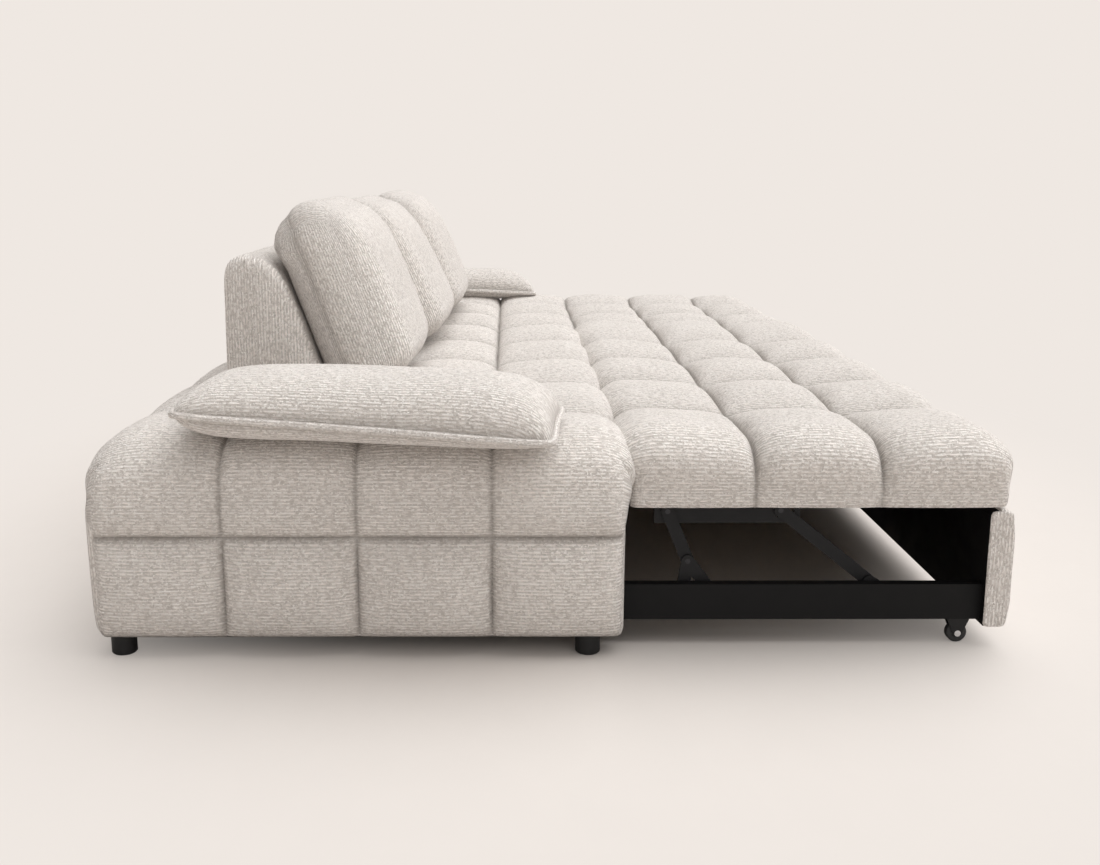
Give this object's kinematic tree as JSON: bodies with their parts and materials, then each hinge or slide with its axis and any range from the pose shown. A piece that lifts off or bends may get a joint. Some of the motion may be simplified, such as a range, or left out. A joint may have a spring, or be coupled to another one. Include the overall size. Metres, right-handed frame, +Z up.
{
  "type": "corner sofa bed",
  "caption": "Tufted corner sofa with a chaise, loose back and arm cushions, and a pull-out bed on castors that rises on lift arms to the height of the seat.",
  "frame": {"origin": "floor level under the middle of the sofa's box, with the bed pulled out", "axes": "+X along the back towards the chaise, +Y towards the back, so the bed pulls out towards -Y; +Z up"},
  "size_m": [3.0502, 1.82, 0.881],
  "materials": {
    "upholstery": "ribbed off-white chenille, matt with a soft sheen",
    "timber": "raw beech and plywood",
    "black_board": "boards with a matt black foil",
    "black_steel": "black powder coat",
    "bright_steel": "zinc plated",
    "black_plastic": "moulded, fine grain",
    "castor_tyre": "hard black tyre, slightly worn",
    "webbing": "elastic webbing"
  },
  "bodies": {
    "platform": {"chaise_corner_blocks": "timber", "chaise_deck_rails": "timber", "chaise_end_board": "timber", "chaise_end_panel": "upholstery", "chaise_front_board": "timber", "chaise_front_panel": "upholstery", "chaise_inner_lining": "black_board", "chaise_rear_board": "timber", "chaise_rear_cover": "upholstery", "chaise_seat_pad": "upholstery", "chaise_webbing": "webbing", "feet": "black_plastic", "foot_studs": "bright_steel", "guide_channels": "black_steel", "main_deck_rails": "timber", "main_front_band": "upholstery", "main_rear_board": "timber", "main_rear_cover": "upholstery", "main_seat_pad": "upholstery", "main_webbing": "webbing", "near_end_panel": "upholstery", "near_side_board": "timber", "partition_board": "timber"},
    "drawer": {"drawer_rail_near": "black_board", "drawer_rail_far": "black_board", "drawer_rear_rail": "black_board", "front_panel_board": "black_board", "front_panel_pad": "upholstery", "drawer_runners": "black_steel", "castor_forks": "black_plastic", "castor_axles": "bright_steel", "lift_brackets": "black_steel", "lift_bracket_pins": "bright_steel"},
    "castor_near": {"castor_wheel_near": "castor_tyre"},
    "castor_far": {"castor_wheel_far": "castor_tyre"},
    "rear_lift_arms": {"lift_arm_rear_near": "black_steel", "lift_arm_rear_far": "black_steel"},
    "front_lift_arms": {"lift_arm_front_near": "black_steel", "lift_arm_front_far": "black_steel", "front_arm_pins": "bright_steel"},
    "bed_seat": {"bed_pad": "upholstery", "bed_skirts": "upholstery", "bed_frame": "black_board", "bed_slats": "timber", "bed_top_bars": "black_steel", "bed_pins": "bright_steel"},
    "arm_cushion_near": {"arm_cushion_near": "upholstery"},
    "arm_cushion_far": {"arm_cushion_far": "upholstery"},
    "backrest_1": {"backrest_pad_1": "upholstery", "backrest_board_1": "timber"},
    "back_cushion_1": {"back_cushion_1": "upholstery"},
    "backrest_2": {"backrest_pad_2": "upholstery", "backrest_board_2": "timber"},
    "back_cushion_2": {"back_cushion_2": "upholstery"},
    "backrest_3": {"backrest_pad_3": "upholstery", "backrest_board_3": "timber"},
    "back_cushion_3": {"back_cushion_3": "upholstery"}
  },
  "joints": [
    {"name": "drawer_slide", "type": "slide", "parent": "platform", "child": "drawer", "axis": [0, -1, 0], "range_m": [0, 0.16]},
    {"name": "rear_lift_hinge", "type": "hinge", "parent": "drawer", "child": "rear_lift_arms", "pos_m": [0, -0.273, 0.169], "axis": [-1, 0, 0], "range_deg": [0, 99.4]},
    {"name": "bed_hinge", "type": "hinge", "parent": "rear_lift_arms", "child": "bed_seat", "pos_m": [0, -0.23033, 0.27201], "axis": [-1, 0, 0], "range_deg": [-99.4, 0]},
    {"name": "front_lift_hinge", "type": "hinge", "parent": "drawer", "child": "front_lift_arms", "pos_m": [0, -0.644, 0.125], "axis": [-1, 0, 0], "range_deg": [0, 41.9]},
    {"name": "castor_near_spin", "type": "hinge", "parent": "drawer", "child": "castor_near", "pos_m": [-1.32, -0.825, 0.0205], "axis": [1, 0, 0], "continuous": true},
    {"name": "castor_far_spin", "type": "hinge", "parent": "drawer", "child": "castor_far", "pos_m": [0.418, -0.825, 0.0205], "axis": [1, 0, 0], "continuous": true},
    {"name": "backrest_1_slide", "type": "slide", "parent": "platform", "child": "backrest_1", "axis": [0, 1, 0], "range_m": [0, 0.14]},
    {"name": "back_cushion_1_lift", "type": "slide", "parent": "backrest_1", "child": "back_cushion_1", "axis": [0, 0, 1], "range_m": [0, 0.35]},
    {"name": "backrest_2_slide", "type": "slide", "parent": "platform", "child": "backrest_2", "axis": [0, 1, 0], "range_m": [0, 0.16]},
    {"name": "back_cushion_2_lift", "type": "slide", "parent": "backrest_2", "child": "back_cushion_2", "axis": [0, 0, 1], "range_m": [0, 0.35]},
    {"name": "backrest_3_slide", "type": "slide", "parent": "platform", "child": "backrest_3", "axis": [0, 1, 0], "range_m": [0, 0.195]},
    {"name": "back_cushion_3_lift", "type": "slide", "parent": "backrest_3", "child": "back_cushion_3", "axis": [0, 0, 1], "range_m": [0, 0.35]},
    {"name": "arm_cushion_near_lift", "type": "slide", "parent": "platform", "child": "arm_cushion_near", "axis": [0, 0, 1], "range_m": [0, 0.35]},
    {"name": "arm_cushion_far_lift", "type": "slide", "parent": "platform", "child": "arm_cushion_far", "axis": [0, 0, 1], "range_m": [0, 0.35]}
  ],
  "couplings": [
    {"joint": "rear_lift_hinge", "follows": "drawer_slide", "rad_per_m": 10.843},
    {"joint": "bed_hinge", "follows": "drawer_slide", "rad_per_m": -10.843},
    {"joint": "front_lift_hinge", "follows": "drawer_slide", "rad_per_m": 4.5705}
  ]
}
